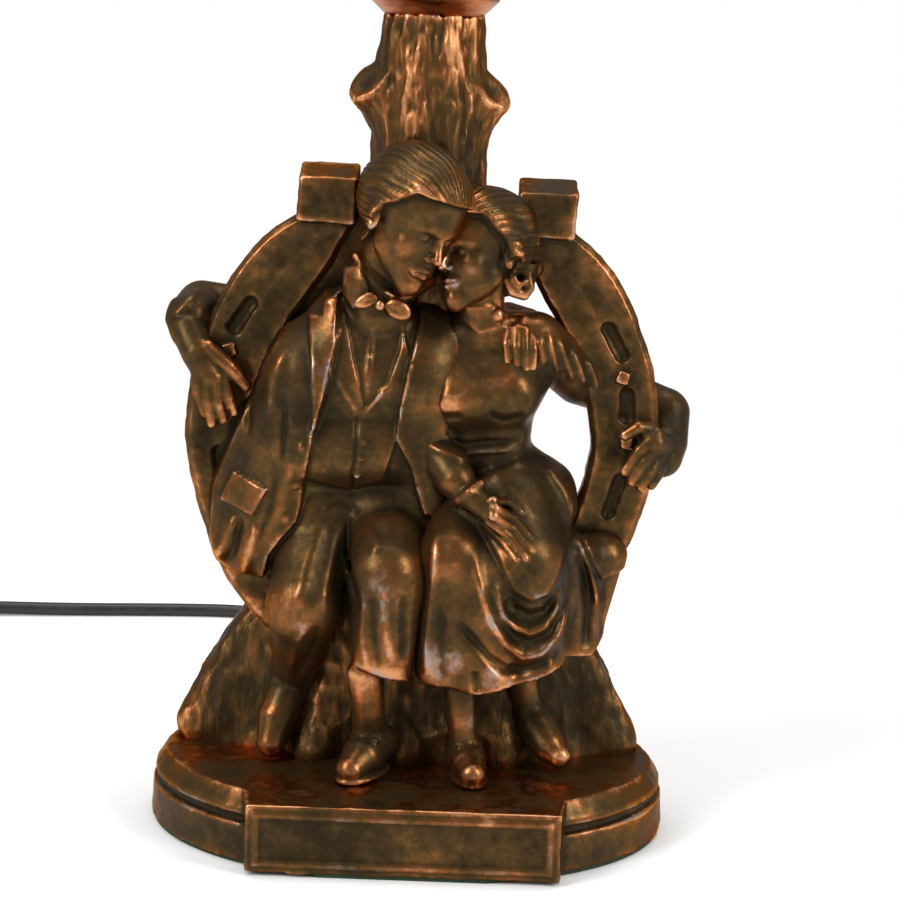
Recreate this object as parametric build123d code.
"""Figural table lamp: a seated couple in a large horseshoe, cast in copper-plated white metal.

Millimetres. +X is the viewer's right, the front faces -Y, +Z is up. The origin is the centre of
the plinth on the surface that the lamp stands on. The figures, the trunk and the horseshoe are
drawn from the top of the plinth's deck, so they follow its height.
"""
import os
from math import acos, atan2, cos, degrees, pi, radians, sin, sqrt, tan

from build123d import *

# ---------------------------------------------------------------- driving dimensions
# plinth
FELT_T = 1.5
PLINTH_TOP = 26.0  # height of the deck over the table
PLINTH_HALF_W = 96.0  # half width at the bottom
PLINTH_FRONT = 71.0  # centre to the front of the bottom oval
PLINTH_REAR = 64.0  # centre to the rear of the bottom oval
WALL = 3.0  # thickness of the plinth casting
STEP_Z = 15.0  # top of the lower wall
GROOVE_Z = 17.6  # top of the groove over it
BEAD_Z = 20.0  # top of the bead, where the slope to the deck starts
STEP_IN = 0.6
GROOVE_IN = 3.0
BEAD_IN = 1.4
DECK_IN = 5.2
TABLET_HALF_W = 55.0  # the flat tablet at the front
TABLET_FRONT = 67.5
TABLET_DEPTH = 22.0
TABLET_DRAFT = 3.0  # how much wider each side is at its back
FRAME_W = 2.6  # raised border of the tablet
FRAME_PROUD = 0.8
FRAME_INSET = 2.2
BOSS_R = 11.0  # boss under the deck for the pipe
BOSS_H = 2.0
FELT_INSET = 1.0

# trunk
AXIS_Y = 12.0  # the pipe and the trunk stand behind the plinth's centre
TRUNK_TOP = 271.5  # over the deck
TRUNK_TOP_R = 18.0
TRUNK_WALL = 3.2
TRUNK_CAP_T = 4.0
STUB_R = 8.5
STUB_TIP_R = 6.6

# horseshoe
SHOE_T = 11.0
SHOE_FRONT_Y = -4.5
SHOE_CENTRE_X = 1.0
SHOE_TILT = 2.0  # degrees, clockwise from the front
SHOE_TILT_Z = 124.0
HEEL_PROUD = 5.0
HEEL_IN = 33.0
HEEL_OUT = 50.5
HEEL_BOTTOM = 193.5
HEEL_H = 21.5
HEEL_SLOPE = 14.0  # degrees that the heel's top falls to the front
NAIL_SLOT_W = 4.4
NAIL_SLOT_DEEP = 3.0
NAIL_HEAD = 4.6
NAIL_HEAD_PROUD = 1.0

# pipe, nuts and cup
PIPE_R = 5.0
PIPE_BORE_R = 3.5
PIPE_HOLE_CLEAR = 0.25
WASHER_R = 15.0
WASHER_T = 1.2
NUT_AF = 14.3
NUT_T = 4.0
PIPE_TAIL = 1.2  # pipe below the nut
CUP_T = 1.0
CUP_FOOT_R = 17.6
CUP_RIM_R = 25.0
CUP_H = 18.0
CUP_BELLY_IN = 1.6  # how far the flank is inside the rim at its lower bend
CUP_BELLY_Z = 5.5
CUP_LIP = 4.0  # straight part under the rim
LOCKNUT_T = 3.6

# medium screw socket
CAP_HUB_R = 7.6
CAP_HUB_H = 7.0
CAP_CLEAR = 0.2  # play of the shell in the cap
CAP_H = 17.5
CAP_T = 0.8
CAP_BELL_IN = 3.0  # how far the bell's lower bend is inside the wall
CAP_BELL_H = 3.0  # height of each of the bell's two slopes
PIPE_IN_CAP = 7.0
SHELL_R = 16.4
SHELL_T = 0.6
SHELL_H = 44.0
SHELL_LAP = 4.0  # how far the shell goes into the cap
LINER_SHORT = 2.0  # how much shorter the liner is
LINER_T = 0.7
FIT = 0.15  # sliding clearance inside the socket
BODY_H = 15.0
BODY_LIFT = 3.0  # room for the leads between the shell's lower end and the block
SCREW_SHELL_EDGE = 1.3  # block outside the screw shell, which takes a medium screw lamp base
SCREW_SHELL_T = 0.5
SCREW_SHELL_H = 25.0
SCREW_FOOT_IN = 1.5  # how much narrower the screw shell is round the centre contact
CONTACT_W = 6.0
CONTACT_T = 0.6
CONTACT_H = 3.0
CONTACT_CLEAR = 0.5  # from the contact to the floor's hole and to the thread
TERMINAL_R = 2.6
TERMINAL_H = 2.2
TERMINAL_POCKET = 3.0  # depth of the pocket for the screw and its lead
TERMINAL_Z = 4.0  # over the bottom of the block
SET_SCREW_R = 1.6
SHAFT_R = 2.0
SHAFT_CLEAR = 0.08
SHELL_NOTCH = 1.2  # room round the shaft in the shell
LINER_NOTCH = 1.0
SHAFT_OUT = 13.0  # shaft beyond the shell
SHAFT_START = 1.5  # from the pipe's axis
SHAFT_Z = 7.5  # over the bottom of the socket body
KNOB_R = 5.4
KNOB_L = 13.0
KNOB_GAP = 1.2
KNOB_LOBES = 10
KNOB_FLUTE_R = 1.1
KNOB_FLUTE_OUT = 0.5  # flute's centre outside the knob
LEAD_R = 1.25
LEAD_GAP = 0.25
LEAD_RISE = 4.5  # straight lead over the pipe
LEAD_END = 3.0  # straight lead under its screw

# cord
CORD_D = 6.2
CORD_EXIT_Z = 8.0
BUSHING_HOLE_R = 5.0
BUSHING_FLANGE_R = 7.0
BUSHING_FLANGE_T = 2.0
BUSHING_L = 24.0
BUSHING_TIP_R = 4.1
BUSHING_BORE_CLEAR = 0.1
BUSHING_CLEAR = 0.1
BUSHING_INSIDE = 2.0
BUSHING_SEAT = 0.6  # from the oval's rearmost line to the flange, which bridges its curve
BUSHING_SHOULDER = 1.6  # wider than the tip behind the flange
BUSHING_SLOPE = 1.0
INSIDE_CLEAR = 0.6  # cord over the felt inside the plinth
INSIDE_DROP = 36.0  # behind the pipe, where the cord inside starts to go down
INSIDE_LOW = 20.4  # behind the pipe, where it is down
COIL_RIM = 45.4  # centre of the outermost turn
COIL_PITCH = 6.9
COIL_TURNS_IN = 3.0
COIL_TURNS_OUT = 2.75
COIL_DIP = 1.8  # how much nearer to the centre the climbing half turn goes
COIL_START = (-262.0, 249.0)
COIL_HEADING = 187.0  # degrees, the way the cord runs where the coil starts
TIE_T = 0.7
TIE_W = 5.0
TIE_CLEAR = 0.25
TIE_AT = 45.0  # degrees round the coil
PLUG_L = 32.0
PLUG_W = 24.0
PLUG_T = 12.0
PLUG_NOSE = 7.0
PLUG_NECK = 1.2  # thickness of the plug round the cord
PLUG_SLOPE_L = 6.0
PLUG_SLOPE_IN = 2.0
PLUG_CORNER_R = 2.0
BLADE_SEAT = 8.0  # blade inside the plug
BLADE_L = 17.5
BLADE_W = 6.35
BLADE_T = 1.5
BLADE_GAP = 12.7
BLADE_HOLE_R = 1.6
BLADE_HOLE_FROM_TIP = 4.0

DECK = Pos(0, 0, PLINTH_TOP)
parts = {}


# ---------------------------------------------------------------- helpers
def tube(outer_r, inner_r, height):
    """A straight tube standing on its lower end."""
    return Cylinder(outer_r, height, align=(Align.CENTER, Align.CENTER, Align.MIN)) - Cylinder(
        inner_r, height, align=(Align.CENTER, Align.CENTER, Align.MIN)
    )


def disc(radius, height):
    return Cylinder(radius, height, align=(Align.CENTER, Align.CENTER, Align.MIN))


def on_pipe(z):
    """The place on the pipe's axis at a height over the table."""
    return Pos(0, AXIS_Y, z)


def oval(inset=0.0):
    """The plinth's plan: two half ovals that meet at its sides, drawn in by an inset."""
    half_w = PLINTH_HALF_W - inset
    front = Ellipse(half_w, PLINTH_FRONT - inset) & Rectangle(
        3 * half_w, 2 * PLINTH_FRONT, align=(Align.CENTER, Align.MAX)
    )
    rear = Ellipse(half_w, PLINTH_REAR - inset) & Rectangle(
        3 * half_w, 2 * PLINTH_REAR, align=(Align.CENTER, Align.MIN)
    )
    return front + rear


def slab(inset_low, z_low, inset_high, z_high):
    """A layer of the plinth between two heights, whose edge may slope."""
    if abs(inset_low - inset_high) < 0.01:
        return Pos(0, 0, z_low) * extrude(oval(inset_low), z_high - z_low)
    low = Pos(0, 0, z_low) * oval(inset_low).faces()[0]
    high = Pos(0, 0, z_high) * oval(inset_high).faces()[0]
    return loft([low, high], ruled=True)


def capsule(start, end):
    """A round-ended limb between two balls, each (x, y, z, radius)."""
    a = Vector(*start[:3])
    b = Vector(*end[:3])
    ra, rb = start[3], end[3]
    if ra < rb:
        a, b, ra, rb = b, a, rb, ra
    length = (b - a).length
    lean = (ra - rb) / length
    side = sqrt(1 - lean * lean)
    half = (acos(lean)) / 2
    low = (ra * side, ra * lean)
    high = (rb * side, length + rb * lean)
    far = pi - acos(lean)
    outline = Wire(
        [
            Edge.make_three_point_arc(
                (0, -ra, 0), (ra * sin(far / 2), -ra * cos(far / 2), 0), (*low, 0)
            ),
            Edge.make_line((*low, 0), (*high, 0)),
            Edge.make_three_point_arc(
                (*high, 0),
                (rb * sin(half), length + rb * cos(half), 0),
                (0, length + rb, 0),
            ),
            Edge.make_line((0, length + rb, 0), (0, -ra, 0)),
        ]
    )
    solid = revolve(Face(outline), Axis.Y, 360)
    place = Plane(origin=a, z_dir=(b - a).normalized())
    return place.location * Rot(90, 0, 0) * solid


def limb(*balls):
    """Capsules in a chain. Each starts a little inside the last, so no two faces coincide."""
    made = []
    for start, end in zip(balls, balls[1:]):
        shrink = 0.3 if made else 0.0
        made.append(capsule((*start[:3], start[3] - shrink), end))
    return made


def fused(pieces):
    """One body of many overlapping pieces."""
    return pieces[0].fuse(*pieces[1:])


def hollowed(balls, wall):
    """The same chain drawn in by a wall, for the core of a casting."""
    return limb(*[(x, y, z, r - wall) for x, y, z, r in balls])


def whole(shape):
    """The largest solid of a cut, without the crumbs that the cut leaves."""
    return max(shape.solids(), key=lambda s: s.volume)


def biarc(start, leave, end, arrive):
    """Two arcs, tangent to each other, from one point and heading to another."""
    chord = end - start
    both = leave + arrive
    spread = 2 * (1 - leave.dot(arrive))
    if spread < 1e-9:
        reach = chord.dot(chord) / (4 * chord.dot(arrive))
    else:
        along = chord.dot(both)
        reach = (-along + sqrt(along * along + spread * chord.dot(chord))) / spread
    joint = (start + end + (leave - arrive) * reach) * 0.5
    across = (end - arrive * reach) - (start + leave * reach)
    return [
        Edge.make_tangent_arc(start, leave, joint),
        Edge.make_tangent_arc(joint, across.normalized(), end),
    ]


def swept(path, radius):
    """A round tube along a path."""
    start = Plane(origin=path @ 0, z_dir=path % 0)
    return sweep(start * Circle(radius), path=path)


def route(points, name):
    """Straight runs joined by arcs as large as the runs allow."""
    corners = [Vector(*p) for p in points]
    radii = []
    for before, corner, after in zip(corners, corners[1:], corners[2:]):
        turn = radians((corner - before).get_angle(after - corner))
        shorter = min((corner - before).length, (after - corner).length)
        radii.append(0.45 * shorter / tan(turn / 2))
    print(name, "radii", " ".join(f"{r:.0f}" for r in radii))
    return FilletPolyline(*corners, radius=radii)


# ---------------------------------------------------------------- plinth
def base_casting():
    """Hollow oval plinth with a stepped edge and a flat tablet."""
    floor = FELT_T
    block = slab(0, floor, STEP_IN, STEP_Z)
    block += slab(GROOVE_IN, STEP_Z, GROOVE_IN, GROOVE_Z)
    block += slab(BEAD_IN, GROOVE_Z, BEAD_IN, BEAD_Z)
    block += slab(BEAD_IN, BEAD_Z, DECK_IN, PLINTH_TOP)
    back = -TABLET_FRONT + TABLET_DEPTH
    wide = TABLET_HALF_W + TABLET_DRAFT
    plan = Polyline(
        (-TABLET_HALF_W, -TABLET_FRONT),
        (TABLET_HALF_W, -TABLET_FRONT),
        (wide, back),
        (-wide, back),
        close=True,
    )
    block -= Pos(0, -TABLET_FRONT, 0) * Box(
        2 * wide,
        PLINTH_FRONT,
        3 * PLINTH_TOP,
        align=(Align.CENTER, Align.MAX, Align.CENTER),
    )
    block += Pos(0, 0, floor) * extrude(make_face(plan), PLINTH_TOP - floor)
    inside = slab(DECK_IN + WALL, floor, DECK_IN + WALL, PLINTH_TOP - WALL)
    inside -= Pos(0, -TABLET_FRONT + WALL, 0) * Box(
        2 * wide,
        PLINTH_FRONT,
        3 * PLINTH_TOP,
        align=(Align.CENTER, Align.MAX, Align.CENTER),
    )
    block -= inside
    block += on_pipe(PLINTH_TOP - WALL - BOSS_H) * disc(BOSS_R, BOSS_H + WALL)
    block -= on_pipe(0) * disc(PIPE_R + PIPE_HOLE_CLEAR, 2 * PLINTH_TOP)
    block -= (
        Pos(0, PLINTH_REAR, CORD_EXIT_Z) * Rot(90, 0, 0) * Cylinder(BUSHING_HOLE_R, 6 * WALL)
    )
    tall = PLINTH_TOP - floor - 2 * FRAME_INSET
    frame = Rectangle(2 * (TABLET_HALF_W - FRAME_INSET), tall) - Rectangle(
        2 * (TABLET_HALF_W - FRAME_INSET - FRAME_W), tall - 2 * FRAME_W
    )
    front = Plane(
        origin=(0, -TABLET_FRONT, (PLINTH_TOP + floor) / 2), x_dir=(1, 0, 0), z_dir=(0, -1, 0)
    )
    block += extrude(front * frame, FRAME_PROUD)
    return block


def base_felt():
    """Felt under the plinth, cut to its bottom and glued to the rim."""
    plan = oval(FELT_INSET)
    plan -= Pos(0, -TABLET_FRONT + FELT_INSET) * Rectangle(
        4 * TABLET_HALF_W, PLINTH_FRONT, align=(Align.CENTER, Align.MAX)
    )
    return extrude(plan, FELT_T)


# ---------------------------------------------------------------- trunk
# height over the deck, half width, half depth, how far behind the pipe its centre is
TRUNK_SECTIONS = [
    (0.0, 86.0, 32.0, 6.0),
    (13.0, 80.0, 29.0, 6.0),
    (30.0, 72.5, 26.0, 5.0),
    (50.0, 61.0, 24.0, 4.0),
    (84.0, 36.0, 22.0, 2.0),
    (124.0, 27.0, 20.5, 1.0),
    (170.0, 22.0, 20.0, 0.0),
    (214.0, 20.5, 20.5, 0.0),
    (240.0, 21.5, 20.0, 0.0),
    (TRUNK_TOP, TRUNK_TOP_R, TRUNK_TOP_R, 0.0),
]
# branch stubs: start on the axis, tip, over the deck
TRUNK_STUBS = [
    ((-6.0, -2.0, 232.0), (-21.0, -6.0, 246.0)),
    ((6.0, -2.0, 228.0), (20.0, -5.0, 243.0)),
]


def trunk_solid(wall=0.0):
    """The trunk's outside, or its core where a wall is given."""
    bottom, top = TRUNK_SECTIONS[0][0], TRUNK_TOP - (TRUNK_CAP_T if wall else 0)
    faces = []
    for z, half_w, half_d, back in TRUNK_SECTIONS:
        z = min(z, top)
        faces.append(Pos(0, AXIS_Y + back, z) * Ellipse(half_w - wall, half_d - wall).faces()[0])
    solid = loft(faces, ruled=True)
    if wall:
        return solid
    for start, tip in TRUNK_STUBS:
        heart = (start[0], start[1] + AXIS_Y, start[2], STUB_R)
        end = (tip[0], tip[1] + AXIS_Y, tip[2], STUB_TIP_R)
        solid += capsule(heart, end)
    return solid


def trunk_casting(shoe):
    """Hollow tree trunk, slotted for the horseshoe, with its root flare and two cut branches."""
    solid = trunk_solid() - trunk_solid(TRUNK_WALL)
    solid -= Pos(0, AXIS_Y, 0) * disc(PIPE_R + PIPE_HOLE_CLEAR, 2 * TRUNK_TOP)
    return whole(DECK * solid - shoe)


# ---------------------------------------------------------------- horseshoe
# half width at each height over the deck, from the branch's shoulder down to the toe
SHOE_OUTSIDE = [
    (50.0, 198.0),
    (62.0, 188.5),
    (73.0, 173.0),
    (83.0, 148.0),
    (86.5, 124.0),
    (84.5, 104.0),
    (77.5, 81.0),
    (65.0, 57.0),
    (40.0, 36.0),
]
SHOE_OUTSIDE_TOE = 29.0
SHOE_INSIDE = [
    (34.0, 196.0),
    (44.0, 178.0),
    (54.5, 158.0),
    (61.5, 134.0),
    (61.5, 114.0),
    (54.5, 88.0),
    (42.0, 70.0),
    (22.0, 60.0),
]
SHOE_INSIDE_TOE = 57.0
# nail slots of one branch: centre (half width, height), length, lean of its upper end inwards
NAIL_SLOTS = [(67.6, 160.0, 16.0, 30.0), (73.9, 137.0, 14.0, 6.0), (72.0, 103.0, 18.0, -14.0)]
NAIL_HEADS = [(71.6, 147.6, 18.0), (74.8, 123.6, 0.0)]


def both_sides(points, middle):
    """A curve's points down one side, through the middle and up the other."""
    return [(x, z) for x, z in points] + [(0.0, middle)] + [(-x, z) for x, z in reversed(points)]


def horseshoe():
    """Horseshoe with its open end up, tilted as in the casting, its toe set in the roots."""
    front = Plane(origin=(0, SHOE_FRONT_Y, 0), x_dir=(1, 0, 0), z_dir=(0, -1, 0))
    outer = Spline(*both_sides(SHOE_OUTSIDE, SHOE_OUTSIDE_TOE))
    inner = Spline(*both_sides(SHOE_INSIDE, SHOE_INSIDE_TOE))
    ends = [Line(outer @ 0, inner @ 0), Line(outer @ 1, inner @ 1)]
    solid = extrude(front * make_face([outer, inner, *ends]), -SHOE_T)
    heel_deep = SHOE_T + HEEL_PROUD
    for side in (-1, 1):
        heel = Box(
            HEEL_OUT - HEEL_IN, heel_deep, HEEL_H, align=(Align.CENTER, Align.MIN, Align.MIN)
        )
        lid = Rot(HEEL_SLOPE, 0, 0) * Box(
            2 * HEEL_OUT, 3 * heel_deep, HEEL_H, align=(Align.CENTER, Align.CENTER, Align.MIN)
        )
        heel -= Pos(0, heel_deep, HEEL_H) * lid
        solid += (
            Pos(side * (HEEL_IN + HEEL_OUT) / 2, SHOE_FRONT_Y - HEEL_PROUD, HEEL_BOTTOM) * heel
        )
        for x, z, length, lean in NAIL_SLOTS:
            slot = Pos(side * x, z) * Rot(0, 0, 90 + side * lean) * SlotOverall(length, NAIL_SLOT_W)
            solid -= extrude(front * slot, -NAIL_SLOT_DEEP)
        for x, z, lean in NAIL_HEADS:
            head = Pos(side * x, z) * Rot(0, 0, side * lean) * Rectangle(NAIL_HEAD, NAIL_HEAD)
            solid += extrude(front * head, NAIL_HEAD_PROUD)
    centre = Pos(SHOE_CENTRE_X, 0, SHOE_TILT_Z)
    return DECK * centre * Rot(0, SHOE_TILT, 0) * Pos(0, 0, -SHOE_TILT_Z) * solid


# ---------------------------------------------------------------- figures
# Balls (x, y, height over the deck, radius) of each limb. Left and right are the viewer's.
MAN_LIMBS = {
    "skull": [(-7.5, -20, 211, 17.5), (-3, -27, 197, 15)],
    "jaw": [(-4, -30, 194, 12.5), (-6.5, -35, 181, 7.5)],
    "neck": [(-14, -12, 167, 10), (-8.5, -20, 183, 9)],
    "shoulders": [(-47, -6, 151.5, 12), (-26, -8, 157.5, 15), (6.5, -4, 154.5, 12)],
    "chest": [(-40, -9, 142, 17), (-4, -9, 143, 17)],
    "belly": [(-36.5, -9, 119, 18), (-10, -9, 119.5, 17)],
    "hips": [(-39, -3, 92, 18), (-7, -3, 93, 17)],
    "left_thigh": [(-36, -6, 89, 17), (-39.5, -28, 65, 14)],
    "right_thigh": [(-10.5, -8, 91, 17), (-9, -31, 77, 14.5)],
    "left_shin": [(-40.5, -26, 59, 12.5), (-45, -2, 28, 7), (-46.5, -3, 6.5, 6)],
    "right_shin": [(-8.5, -30, 69, 14), (-12, -33, 39, 10)],
    "right_ankle": [(-12, -33, 40, 7.5), (-10, -27, 14, 6.5)],
    "right_shoe": [(-9, -22, 9, 7), (-17.5, -36, 6.5, 6)],
    "coat_side": [(-59.5, -3, 131, 10), (-67, -3, 79, 10)],
    "coat_front": [(-47, -10, 126, 12), (-55.5, -12, 80, 11)],
    "coat_tail": [(-69, 3, 118, 7), (-71.5, 3, 78, 7)],
    "right_lapel": [(3, -14, 150, 8), (1, -16, 110, 9), (4, -14, 94, 7)],
    "left_arm": [(-50, -2, 151, 11), (-66, 16, 158, 10), (-87, 16, 163, 9.5), (-87.5, 0, 157, 8.5)],
    "left_hand": [(-83, -9, 154, 7), (-76, -10, 143, 6.5), (-73, -9, 129, 4.5)],
    "left_thumb": [(-76, -9, 149, 4.5), (-65, -8, 139, 3)],
    "right_arm": [(6, 6, 158, 9), (38, 7, 166, 7.5), (39, -6, 170, 5.5)],
    "right_hand": [(39, -8, 170, 5), (37, -19, 163, 5), (36, -21.5, 154, 3.5)],
}
WOMAN_LIMBS = {
    "skull": [(21, -12, 200, 15.5), (19.5, -18, 192.5, 14)],
    "face": [(17.5, -22, 190, 11), (14, -27, 179.5, 7)],
    "hair": [(30, -8, 194, 9), (32.5, -12, 181, 6)],
    "neck": [(21.5, -10, 163, 8), (18, -16, 177, 7.5)],
    "shoulders": [(6.5, -6, 154.5, 10), (22.5, -8, 159, 12), (40, -8, 159, 10.5)],
    "chest": [(11, -9, 144, 12.5), (35, -8, 146, 12.5)],
    "bust": [(12.5, -17, 136, 11), (32, -18, 139, 11.5)],
    "ribs": [(17, -9, 143, 12), (18, -8, 117, 11)],
    "right_ribs": [(30, -9, 144, 12.5), (30, -8, 116.5, 11)],
    "hips": [(20, -4, 96, 15), (46, -3, 95.5, 15)],
    "lap": [(32, -10, 97, 19), (38.5, -26, 81, 15)],
    "left_knee": [(19.5, -10, 95, 14), (13, -29, 82.5, 12.5)],
    "skirt_left": [(13, -29, 79, 13), (9.5, -31, 47, 9)],
    "skirt_middle": [(25, -28, 70, 15), (25, -33, 45, 10)],
    "skirt_right": [(39, -24, 71, 15.5), (42.5, -28, 47, 10)],
    "skirt_side": [(53.5, -12, 74, 14), (60, -8, 54, 10)],
    "drape": [(68, -5, 77, 8.5), (67.5, -5, 57, 7)],
    "left_ankle": [(17.5, -30, 42, 6), (20, -30, 14, 5)],
    "left_shoe": [(20, -26, 8, 6.5), (22, -36, 5.7, 5.5)],
    "right_ankle": [(39.5, -14, 42, 6), (43, -10, 20, 5.5)],
    "right_shoe": [(44, -8, 16, 6.5), (51, -9, 7.5, 6)],
    "left_forearm": [(5, -16, 119.5, 7.5), (17.5, -32, 107.5, 6)],
    "left_hand": [(19, -33, 106, 5.5), (29, -36, 96, 5), (36.5, -39, 88, 3.5)],
    "right_arm": [(42, -7, 158, 10), (58, 5, 140, 10), (75, 16, 134, 9), (92, 15, 130, 8.5)],
    "right_forearm": [(92.5, 14, 129.5, 8), (90.5, -1, 120, 7.5)],
    "right_hand": [(87, -8, 120, 7), (80, -10, 122, 6), (73, -9, 113, 4)],
}
CORE_WALL = 4.5
MAN_CORE = ("chest", "belly", "hips")
WOMAN_CORE = ("chest", "hips", "lap")
CORE_LINK_R = 6.0
CORE_LINK_TAPER = 0.5


def figure(limbs, core, others):
    """A figure cast round a core, cut to the pieces that it is soldered to."""
    pieces = [c for balls in limbs.values() for c in limb(*balls)]
    hollow = [c for name in core for c in hollowed(limbs[name], CORE_WALL)]
    middles = [limbs[name][0] for name in core]
    for a, b in zip(middles, middles[1:]):
        hollow.append(capsule((*a[:3], CORE_LINK_R), (*b[:3], CORE_LINK_R - CORE_LINK_TAPER)))
    body = DECK * (fused(pieces) - fused(hollow))
    for other in others:
        body -= other
    return whole(body)


# ---------------------------------------------------------------- pipe, nuts and cup
DECK_UNDER = PLINTH_TOP - WALL - BOSS_H
NUT_TOP = DECK_UNDER - WASHER_T
PIPE_BOTTOM = NUT_TOP - NUT_T - PIPE_TAIL
CUP_Z = PLINTH_TOP + TRUNK_TOP
LOCKNUT_Z = CUP_Z + CUP_T
CAP_Z = LOCKNUT_Z + LOCKNUT_T
PIPE_TOP = CAP_Z + PIPE_IN_CAP
CAP_R = SHELL_R + CAP_CLEAR + CAP_T
SHELL_Z = CAP_Z + CAP_H - SHELL_LAP
LINER_R = SHELL_R - SHELL_T - FIT
BODY_R = LINER_R - LINER_T - FIT
BODY_Z = SHELL_Z + BODY_LIFT
SCREW_SHELL_R = BODY_R - SCREW_SHELL_EDGE - SCREW_SHELL_T
SCREW_SHELL_Z = BODY_Z + BODY_H


def hex_nut(height):
    """A hexagon nut on the pipe's thread."""
    plan = RegularPolygon(NUT_AF / 2, 6, major_radius=False) - Circle(PIPE_R)
    return extrude(plan, height)


def socket_cup():
    """Spun copper cup: a flat foot, a round flank and a plain rim."""
    belly = CUP_RIM_R - CUP_BELLY_IN
    lip_z = CUP_H - CUP_LIP
    profile = [
        (0, 0),
        (CUP_FOOT_R, 0),
        (belly, CUP_BELLY_Z),
        (CUP_RIM_R, lip_z),
        (CUP_RIM_R, CUP_H),
        (CUP_RIM_R - CUP_T, CUP_H),
        (CUP_RIM_R - CUP_T, lip_z),
        (belly - CUP_T, CUP_BELLY_Z + CUP_T / 2),
        (CUP_FOOT_R - CUP_T / 2, CUP_T),
        (0, CUP_T),
    ]
    cup = revolve(make_face(Plane.XZ * Polyline(*profile, close=True)), Axis.Z, 360)
    return on_pipe(CUP_Z) * (cup - disc(PIPE_R + PIPE_HOLE_CLEAR, CUP_H))


def socket_cap():
    """Bell-shaped cap, threaded on the pipe, that the shell snaps into."""
    bend_z = CAP_HUB_H + CAP_BELL_H
    wall_z = bend_z + CAP_BELL_H
    bell = [
        (PIPE_R, 0),
        (CAP_HUB_R, 0),
        (CAP_HUB_R, CAP_HUB_H),
        (CAP_R - CAP_BELL_IN, bend_z),
        (CAP_R, wall_z),
        (CAP_R, CAP_H),
        (CAP_R - CAP_T, CAP_H),
        (CAP_R - CAP_T, wall_z + CAP_T / 2),
        (CAP_R - CAP_BELL_IN - CAP_T / 2, bend_z + CAP_T),
        (CAP_HUB_R - CAP_T, CAP_HUB_H + CAP_T),
        (PIPE_R, CAP_HUB_H + CAP_T),
    ]
    cap = revolve(make_face(Plane.XZ * Polyline(*bell, close=True)), Axis.Z, 360)
    screw = Pos(CAP_HUB_R, 0, CAP_HUB_H / 2) * Rot(0, 90, 0) * Cylinder(SET_SCREW_R, 2 * PIPE_R)
    return on_pipe(CAP_Z) * Rot(0, 0, 90) * (cap - screw)


def cap_set_screw():
    """Small screw that stops the cap from turning on the pipe."""
    length = CAP_HUB_R - PIPE_R + SET_SCREW_R / 2
    place = Pos(PIPE_R + length / 2, 0, CAP_HUB_H / 2) * Rot(0, 90, 0)
    screw = place * Cylinder(SET_SCREW_R, length)
    return on_pipe(CAP_Z) * Rot(0, 0, 90) * screw


def shaft_notch(room):
    """The notch for the switch shaft in a sleeve that stands on the shell's lower end."""
    side = 2 * (SHAFT_R + room)
    notch = Box(2 * SHELL_R, side, side, align=(Align.MIN, Align.CENTER, Align.CENTER))
    return Pos(0, 0, BODY_LIFT + SHAFT_Z) * notch


def knob_hole(length):
    """The round hole on the right for the switch shaft, at the pipe's axis."""
    return Pos(0, 0, SHAFT_Z) * Rot(0, 90, 0) * Cylinder(
        SHAFT_R + SHAFT_CLEAR, length, align=(Align.CENTER, Align.CENTER, Align.MIN)
    )


def socket_shell():
    """Outer shell with a notch for the switch shaft."""
    shell = tube(SHELL_R, SHELL_R - SHELL_T, SHELL_H)
    return on_pipe(SHELL_Z) * (shell - shaft_notch(SHELL_NOTCH))


def shell_liner():
    """Insulating paper sleeve inside the shell."""
    liner = tube(LINER_R, LINER_R - LINER_T, SHELL_H - LINER_SHORT)
    return on_pipe(SHELL_Z) * (liner - shaft_notch(LINER_NOTCH))


def socket_body():
    """Moulded block that carries the switch, the contacts and the screw shell."""
    body = disc(BODY_R, BODY_H)
    body -= knob_hole(2 * BODY_R)
    body -= Pos(0, 0, SHAFT_Z) * Box(2 * TERMINAL_R + 2, 2 * TERMINAL_R, 2 * TERMINAL_R)
    for side in (-1, 1):
        pocket = Box(
            4 * TERMINAL_R,
            2 * TERMINAL_POCKET,
            BODY_H,
            align=(Align.CENTER, Align.CENTER, Align.MIN),
        )
        body -= Pos(0, side * BODY_R, -1) * pocket
    return on_pipe(BODY_Z) * body


def screw_shell():
    """Brass shell for a medium screw lamp: a narrower foot round the contact, a floor with a hole."""
    foot_r = SCREW_SHELL_R - SCREW_FOOT_IN
    foot_h = CONTACT_H + CONTACT_CLEAR
    hole_r = CONTACT_W / 2 + CONTACT_CLEAR
    profile = [
        (hole_r, 0),
        (foot_r + SCREW_SHELL_T, 0),
        (foot_r + SCREW_SHELL_T, foot_h - SCREW_SHELL_T),
        (SCREW_SHELL_R + SCREW_SHELL_T, foot_h - SCREW_SHELL_T),
        (SCREW_SHELL_R + SCREW_SHELL_T, SCREW_SHELL_H),
        (SCREW_SHELL_R, SCREW_SHELL_H),
        (SCREW_SHELL_R, foot_h),
        (foot_r, foot_h),
        (foot_r, SCREW_SHELL_T),
        (hole_r, SCREW_SHELL_T),
    ]
    shell = revolve(make_face(Plane.XZ * Polyline(*profile, close=True)), Axis.Z, 360)
    return on_pipe(SCREW_SHELL_Z) * shell


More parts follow.
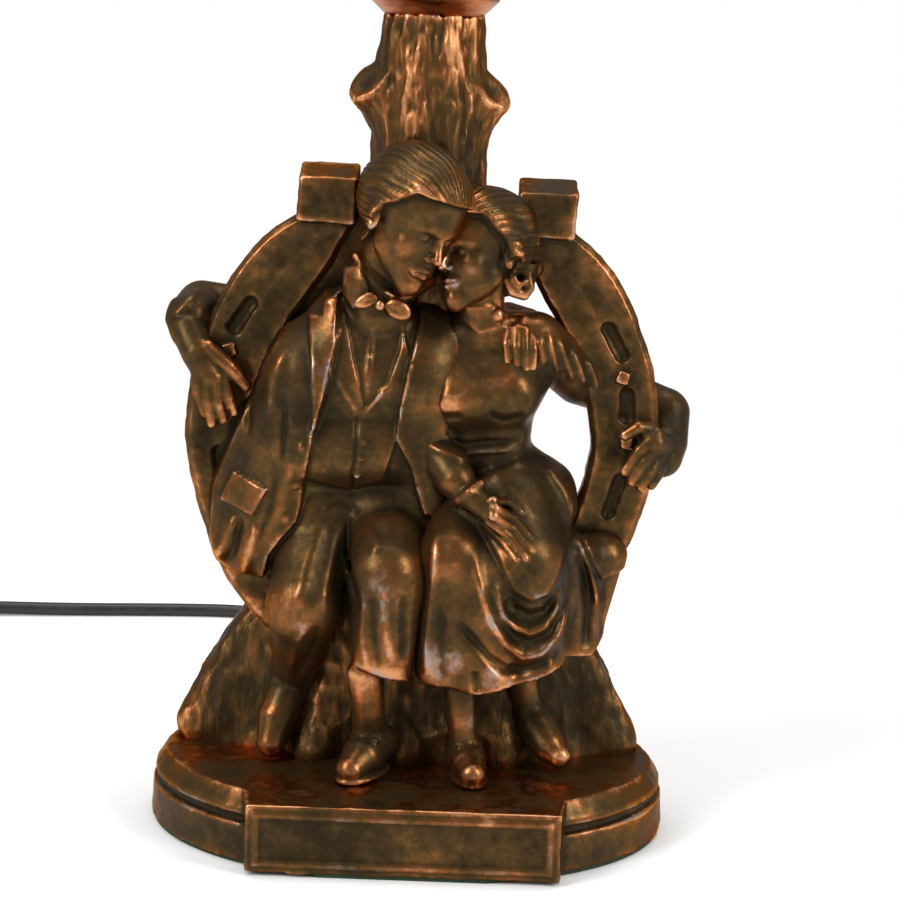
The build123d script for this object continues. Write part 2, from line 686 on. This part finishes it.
def centre_contact():
    """Sprung tongue for the lamp's tip: a foot, an upright and a tip that stands over the foot."""
    long = CONTACT_W / sqrt(2)
    wide = CONTACT_W / 2
    foot = Pos(0, 0, CONTACT_T / 2) * Box(long, wide, CONTACT_T)
    rise = Box(CONTACT_T, wide, CONTACT_H, align=(Align.CENTER, Align.CENTER, Align.MIN))
    tip = Pos(0, 0, CONTACT_H - CONTACT_T / 2) * Box(long, wide, CONTACT_T)
    tongue = foot + Pos((CONTACT_T - long) / 2, 0, 0) * rise + tip
    return on_pipe(SCREW_SHELL_Z) * tongue


def terminal_screws():
    """Two binding screws on the sides of the block."""
    made = []
    seat = BODY_R - TERMINAL_POCKET
    for side in (-1, 1):
        screw = Rot(90, 0, 0) * Cylinder(TERMINAL_R, TERMINAL_H)
        made.append(Pos(0, side * (seat + TERMINAL_H / 2), TERMINAL_Z) * screw)
    return on_pipe(BODY_Z) * Compound(children=made)


def switch_shaft():
    """Turning shaft of the switch."""
    reach = SHELL_R + SHAFT_OUT
    shaft = Rot(0, 90, 0) * Cylinder(
        SHAFT_R, reach - SHAFT_START, align=(Align.CENTER, Align.CENTER, Align.MIN)
    )
    return on_pipe(BODY_Z + SHAFT_Z) * Pos(SHAFT_START, 0, 0) * shaft


def switch_knob():
    """Fluted turn knob pressed on the shaft."""
    knob = Circle(KNOB_R)
    for k in range(KNOB_LOBES):
        knob -= Rot(0, 0, 360 * k / KNOB_LOBES) * Pos(KNOB_R + KNOB_FLUTE_OUT) * Circle(KNOB_FLUTE_R)
    knob = extrude(knob, KNOB_L) - disc(SHAFT_R, SHAFT_OUT - KNOB_GAP)
    start = SHELL_R + KNOB_GAP
    return on_pipe(BODY_Z + SHAFT_Z) * Pos(start, 0, 0) * Rot(0, 90, 0) * knob


def lead(side):
    """One conductor from the end of the cord in the pipe to its binding screw."""
    inner = AXIS_Y + side * (LEAD_R + LEAD_GAP)
    outer = AXIS_Y + side * (BODY_R - TERMINAL_POCKET + LEAD_R + LEAD_GAP / 2)
    top = BODY_Z + TERMINAL_Z - TERMINAL_R
    path = route(
        [
            (0, inner, PIPE_TOP),
            (0, inner, PIPE_TOP + LEAD_RISE),
            (0, outer, top - LEAD_END),
            (0, outer, top),
        ],
        "lead",
    )
    return swept(path, LEAD_R)


# ---------------------------------------------------------------- cord
CORD_R = CORD_D / 2
BUSHING_Y = PLINTH_REAR
CORD_OUT_Y = BUSHING_Y + BUSHING_L
COIL_Z = CORD_R + TIE_T + TIE_CLEAR
# the free cord on the table, from the bushing to the coil
RUN_POINTS = [
    (0, CORD_OUT_Y, CORD_EXIT_Z),
    (0, 106, CORD_EXIT_Z),
    (1, 126, 4.6),
    (3, 150, CORD_R),
    (2, 178, CORD_R),
    (-8, 208, CORD_R),
    (-27, 236, CORD_R),
    (-54, 258, CORD_R),
    (-88, 269.5, CORD_R),
    (-128, 266.6, CORD_R),
    (-172, 260.6, CORD_R),
]
COIL_LEAD = 38.0  # straight cord before the coil


def coil_points():
    """Points and headings of the coil: in on the table, up a layer, and out again."""
    first = radians(COIL_HEADING - 90)
    centre = Vector(*COIL_START) - Vector(cos(first), sin(first)) * COIL_RIM
    inner = COIL_RIM - COIL_PITCH * COIL_TURNS_IN
    quarter = pi / 2
    steps_in = round(COIL_TURNS_IN * 4)
    steps_out = round(COIL_TURNS_OUT * 4)
    shrink = COIL_PITCH / (2 * pi)
    rows = []
    for k in range(steps_in + 1):
        rows.append((k * quarter, COIL_RIM - shrink * k * quarter, COIL_Z, -shrink, 0.0))
    rows[-1] = (*rows[-1][:3], -COIL_DIP, 0.0)
    for turn in (pi / 4, pi / 2, 3 * pi / 4):
        dip = inner - COIL_DIP * sin(turn)
        rise = COIL_Z + COIL_PITCH * (1 - cos(turn)) / 2
        slope = COIL_PITCH * sin(turn) / 2
        rows.append((steps_in * quarter + turn, dip, rise, -COIL_DIP * cos(turn), slope))
    start = steps_in * quarter + pi
    top = COIL_Z + COIL_PITCH
    for k in range(steps_out + 1):
        rows.append((start + k * quarter, inner + shrink * k * quarter, top, shrink, 0.0))
    rows[steps_in + 4] = (start, inner, top, COIL_DIP, 0.0)
    made = []
    for turn, radius, z, grow, climb in rows:
        angle = first + turn
        out = Vector(cos(angle), sin(angle), 0)
        round_ = Vector(-sin(angle), cos(angle), 0)
        place = Vector(centre.X, centre.Y, z) + out * radius
        heading = (round_ * radius + out * grow + Vector(0, 0, climb)).normalized()
        made.append((place, heading))
    return made


def coil_path():
    """One unbroken line: straight for a diameter at both ends, arcs between."""
    points = coil_points()
    edges = []
    for (start, leave), (end, arrive) in zip(points, points[1:]):
        edges += biarc(start, leave, end, arrive)
    first, heading = points[0]
    last, away = points[-1]
    edges.insert(0, Edge.make_line(first - heading * CORD_D, first))
    edges.append(Edge.make_line(last, last + away * CORD_D))
    return Wire(edges)


def least_gap(path, steps=1500):
    """The least clear distance between the coil's turns, measured on points."""
    points = [path.position_at(k / steps) for k in range(steps + 1)]
    stride = path.length / steps
    skip = int(pi * CORD_D / stride)
    least = 1e9
    for i in range(0, len(points), 2):
        for j in range(i + skip, len(points), 2):
            far = (points[i] - points[j]).length
            least = min(least, far)
    return least - CORD_D


def cord_pieces():
    """The free cord: run, coil, tail to the plug, tie and plug."""
    coil = coil_path()
    start, heading = coil @ 0, coil % 0
    run = route([*RUN_POINTS, start - heading * COIL_LEAD, start], "cord_run")
    end, away = coil @ 1, coil % 1
    drop = Vector(0, 0, PLUG_T / 2 - end.Z)
    tail = route(
        [
            end,
            end + away * 20,
            end + away * 40 + Vector(1, 0, 0) + drop,
            end + away * 58 + Vector(3, 0, 0) + drop,
        ],
        "cord_tail",
    )
    plug_at = tail @ 1
    parts["cord_run"] = swept(run, CORD_R)
    parts["cord_coil"] = swept(coil, CORD_R)
    parts["cord_tail"] = swept(tail, CORD_R)
    section = pi * CORD_R * CORD_R
    for name, path in (("cord_run", run), ("cord_coil", coil), ("cord_tail", tail)):
        print(name, f"length {path.length:.0f} volume / (section x length)",
              f"{parts[name].volume / section / path.length:.4f}")
    print(f"coil least gap {least_gap(coil):.2f}")
    print(f"free cord {run.length + coil.length + tail.length + BUSHING_L:.0f} mm from the plinth")
    facing = degrees(atan2((tail % 1).Y, (tail % 1).X))
    plug_place = Pos(plug_at.X, plug_at.Y, plug_at.Z) * Rot(0, 0, facing)
    parts["plug_body"] = plug_place * plug_body()
    parts["plug_blades"] = plug_place * plug_blades()
    parts["cord_tie"] = cord_tie()


def plug_body():
    """Moulded two-pin plug that lies flat, its cord end at the origin, pointing along +X."""
    neck = Polyline(
        (0, -CORD_R - PLUG_NECK),
        (PLUG_NOSE, -PLUG_W / 2 + PLUG_SLOPE_IN),
        (PLUG_NOSE + PLUG_SLOPE_L, -PLUG_W / 2),
        (PLUG_L, -PLUG_W / 2),
        (PLUG_L, PLUG_W / 2),
        (PLUG_NOSE + PLUG_SLOPE_L, PLUG_W / 2),
        (PLUG_NOSE, PLUG_W / 2 - PLUG_SLOPE_IN),
        (0, CORD_R + PLUG_NECK),
        close=True,
    )
    body = Pos(0, 0, -PLUG_T / 2) * extrude(make_face(neck), PLUG_T)
    body = fillet(body.edges().filter_by(Axis.Z).group_by(Axis.X)[-1], PLUG_CORNER_R)
    for side in (-1, 1):
        body -= Pos(PLUG_L, side * BLADE_GAP / 2, 0) * Box(
            BLADE_SEAT, BLADE_T, BLADE_W, align=(Align.MAX, Align.CENTER, Align.CENTER)
        )
    return body


def plug_blades():
    """Two flat contact blades, each with its hole."""
    length = BLADE_L + BLADE_SEAT
    made = []
    for side in (-1, 1):
        blade = Box(length, BLADE_T, BLADE_W, align=(Align.MIN, Align.CENTER, Align.CENTER))
        hole = Pos(length - BLADE_HOLE_FROM_TIP, 0, 0) * Rot(90, 0, 0)
        blade -= hole * Cylinder(BLADE_HOLE_R, 3 * BLADE_T)
        made.append(Pos(PLUG_L - BLADE_SEAT, side * BLADE_GAP / 2, 0) * blade)
    return Compound(children=made)


def cord_tie():
    """Strap that holds the coil's turns together."""
    first = radians(COIL_HEADING - 90)
    centre = Vector(*COIL_START) - Vector(cos(first), sin(first)) * COIL_RIM
    inner = COIL_RIM - COIL_PITCH * COIL_TURNS_IN - COIL_DIP - CORD_R - TIE_CLEAR
    outer = COIL_RIM + CORD_R + TIE_CLEAR
    low = COIL_Z - CORD_R - TIE_CLEAR
    high = COIL_Z + COIL_PITCH + CORD_R + TIE_CLEAR
    loop = Rectangle(outer - inner + 2 * TIE_T, high - low + 2 * TIE_T) - Rectangle(
        outer - inner, high - low
    )
    strap = extrude(Plane.XZ * loop, TIE_W / 2, both=True)
    strap = Pos((inner + outer) / 2, 0, (low + high) / 2) * strap
    return Pos(centre.X, centre.Y, 0) * Rot(0, 0, TIE_AT) * strap


def cord_bushing():
    """Tapered bushing in the rear wall, bored for the cord."""
    bore = CORD_R + BUSHING_BORE_CLEAR
    inside = WALL + BUSHING_INSIDE
    flange_end = BUSHING_SEAT + BUSHING_FLANGE_T
    profile = Polyline(
        (bore, -inside),
        (BUSHING_HOLE_R - BUSHING_CLEAR, -inside),
        (BUSHING_HOLE_R - BUSHING_CLEAR, BUSHING_SEAT),
        (BUSHING_FLANGE_R, BUSHING_SEAT),
        (BUSHING_FLANGE_R, flange_end),
        (BUSHING_TIP_R + BUSHING_SHOULDER, flange_end + BUSHING_SLOPE),
        (BUSHING_TIP_R, BUSHING_L),
        (bore, BUSHING_L),
        close=True,
    )
    solid = revolve(make_face(Plane.XZ * profile), Axis.Z, 360)
    return Pos(0, BUSHING_Y, CORD_EXIT_Z) * Rot(-90, 0, 0) * solid


def cord_inside():
    """The cord from the bushing's mouth through the plinth and up the pipe."""
    low = FELT_T + CORD_R + INSIDE_CLEAR
    path = route(
        [
            (0, CORD_OUT_Y, CORD_EXIT_Z),
            (0, AXIS_Y + INSIDE_DROP, CORD_EXIT_Z),
            (0, AXIS_Y + INSIDE_LOW, low),
            (0, AXIS_Y, low),
            (0, AXIS_Y, PIPE_TOP),
        ],
        "cord_inside",
    )
    return swept(path, CORD_R)


# ---------------------------------------------------------------- the lamp
def main():
    parts["base_casting"] = base_casting()
    parts["base_felt"] = base_felt()
    trunk = DECK * trunk_solid()
    shoe = horseshoe()
    parts["trunk_casting"] = trunk_casting(shoe)
    parts["horseshoe"] = shoe
    deck = Box(
        4 * PLINTH_HALF_W,
        4 * PLINTH_FRONT,
        PLINTH_TOP,
        align=(Align.CENTER, Align.CENTER, Align.MIN),
    )
    man = figure(MAN_LIMBS, MAN_CORE, [trunk, shoe, deck])
    parts["man_figure"] = man
    parts["woman_figure"] = figure(WOMAN_LIMBS, WOMAN_CORE, [trunk, shoe, deck, man])
    parts["lamp_pipe"] = on_pipe(PIPE_BOTTOM) * tube(PIPE_R, PIPE_BORE_R, PIPE_TOP - PIPE_BOTTOM)
    parts["pipe_washer"] = on_pipe(NUT_TOP) * tube(WASHER_R, PIPE_R + PIPE_HOLE_CLEAR, WASHER_T)
    parts["pipe_nut"] = on_pipe(NUT_TOP - NUT_T) * hex_nut(NUT_T)
    parts["socket_cup"] = socket_cup()
    parts["cup_locknut"] = on_pipe(LOCKNUT_Z) * hex_nut(LOCKNUT_T)
    parts["socket_cap"] = socket_cap()
    parts["cap_set_screw"] = cap_set_screw()
    parts["socket_shell"] = socket_shell()
    parts["shell_liner"] = shell_liner()
    parts["socket_body"] = socket_body()
    parts["screw_shell"] = screw_shell()
    parts["centre_contact"] = centre_contact()
    parts["terminal_screws"] = terminal_screws()
    parts["switch_shaft"] = switch_shaft()
    parts["switch_knob"] = switch_knob()
    parts["lead_live"] = lead(-1)
    parts["lead_neutral"] = lead(1)
    parts["cord_bushing"] = cord_bushing()
    parts["cord_inside"] = cord_inside()
    cord_pieces()
    os.makedirs("parts", exist_ok=True)
    for name, shape in parts.items():
        export_step(shape, f"parts/{name}.step")
    print(len(parts), "nodes")


main()
